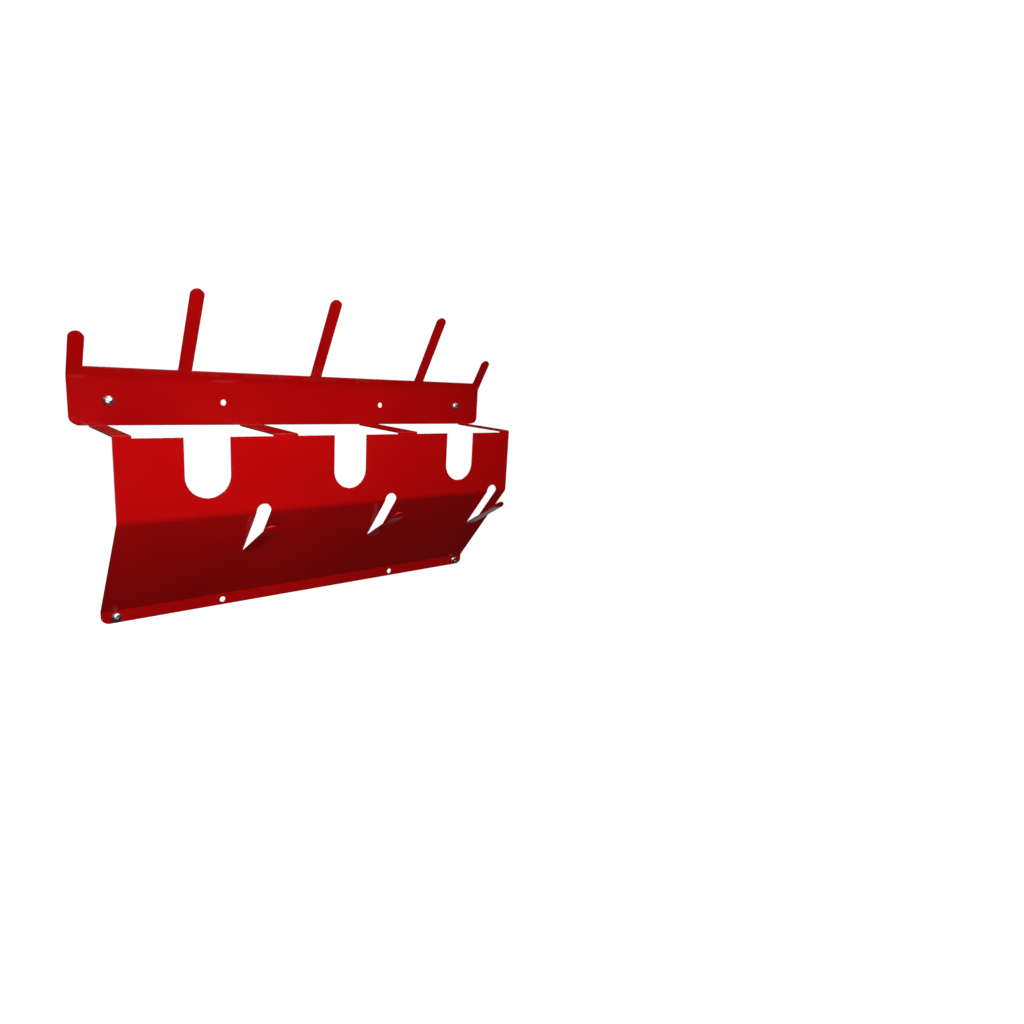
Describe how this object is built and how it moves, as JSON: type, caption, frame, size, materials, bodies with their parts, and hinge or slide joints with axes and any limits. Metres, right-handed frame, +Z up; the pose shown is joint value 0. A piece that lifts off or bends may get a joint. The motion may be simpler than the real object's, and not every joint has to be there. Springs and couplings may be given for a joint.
{
  "type": "angle grinder wall holder",
  "caption": "Wall-mounted folded sheet-steel holder with open slots for angle grinders, upright pegs for spare discs and low hooks, fixed with wall screws.",
  "frame": {"origin": "on the wall plane, at the middle of the back face of the wall strip, on the line of the upper screws", "axes": "+X to the right along the wall as seen from the front, +Y into the wall, +Z up; the front faces -Y"},
  "size_m": [0.4688, 0.139, 0.3258],
  "materials": {
    "holder_paint": "glossy powder coat",
    "screw_zinc": "bright zinc plating"
  },
  "bodies": {
    "root": {"holder_sheet": "holder_paint", "upper_left_screw": "screw_zinc", "upper_right_screw": "screw_zinc", "lower_left_screw": "screw_zinc", "lower_right_screw": "screw_zinc"}
  },
  "joints": []
}
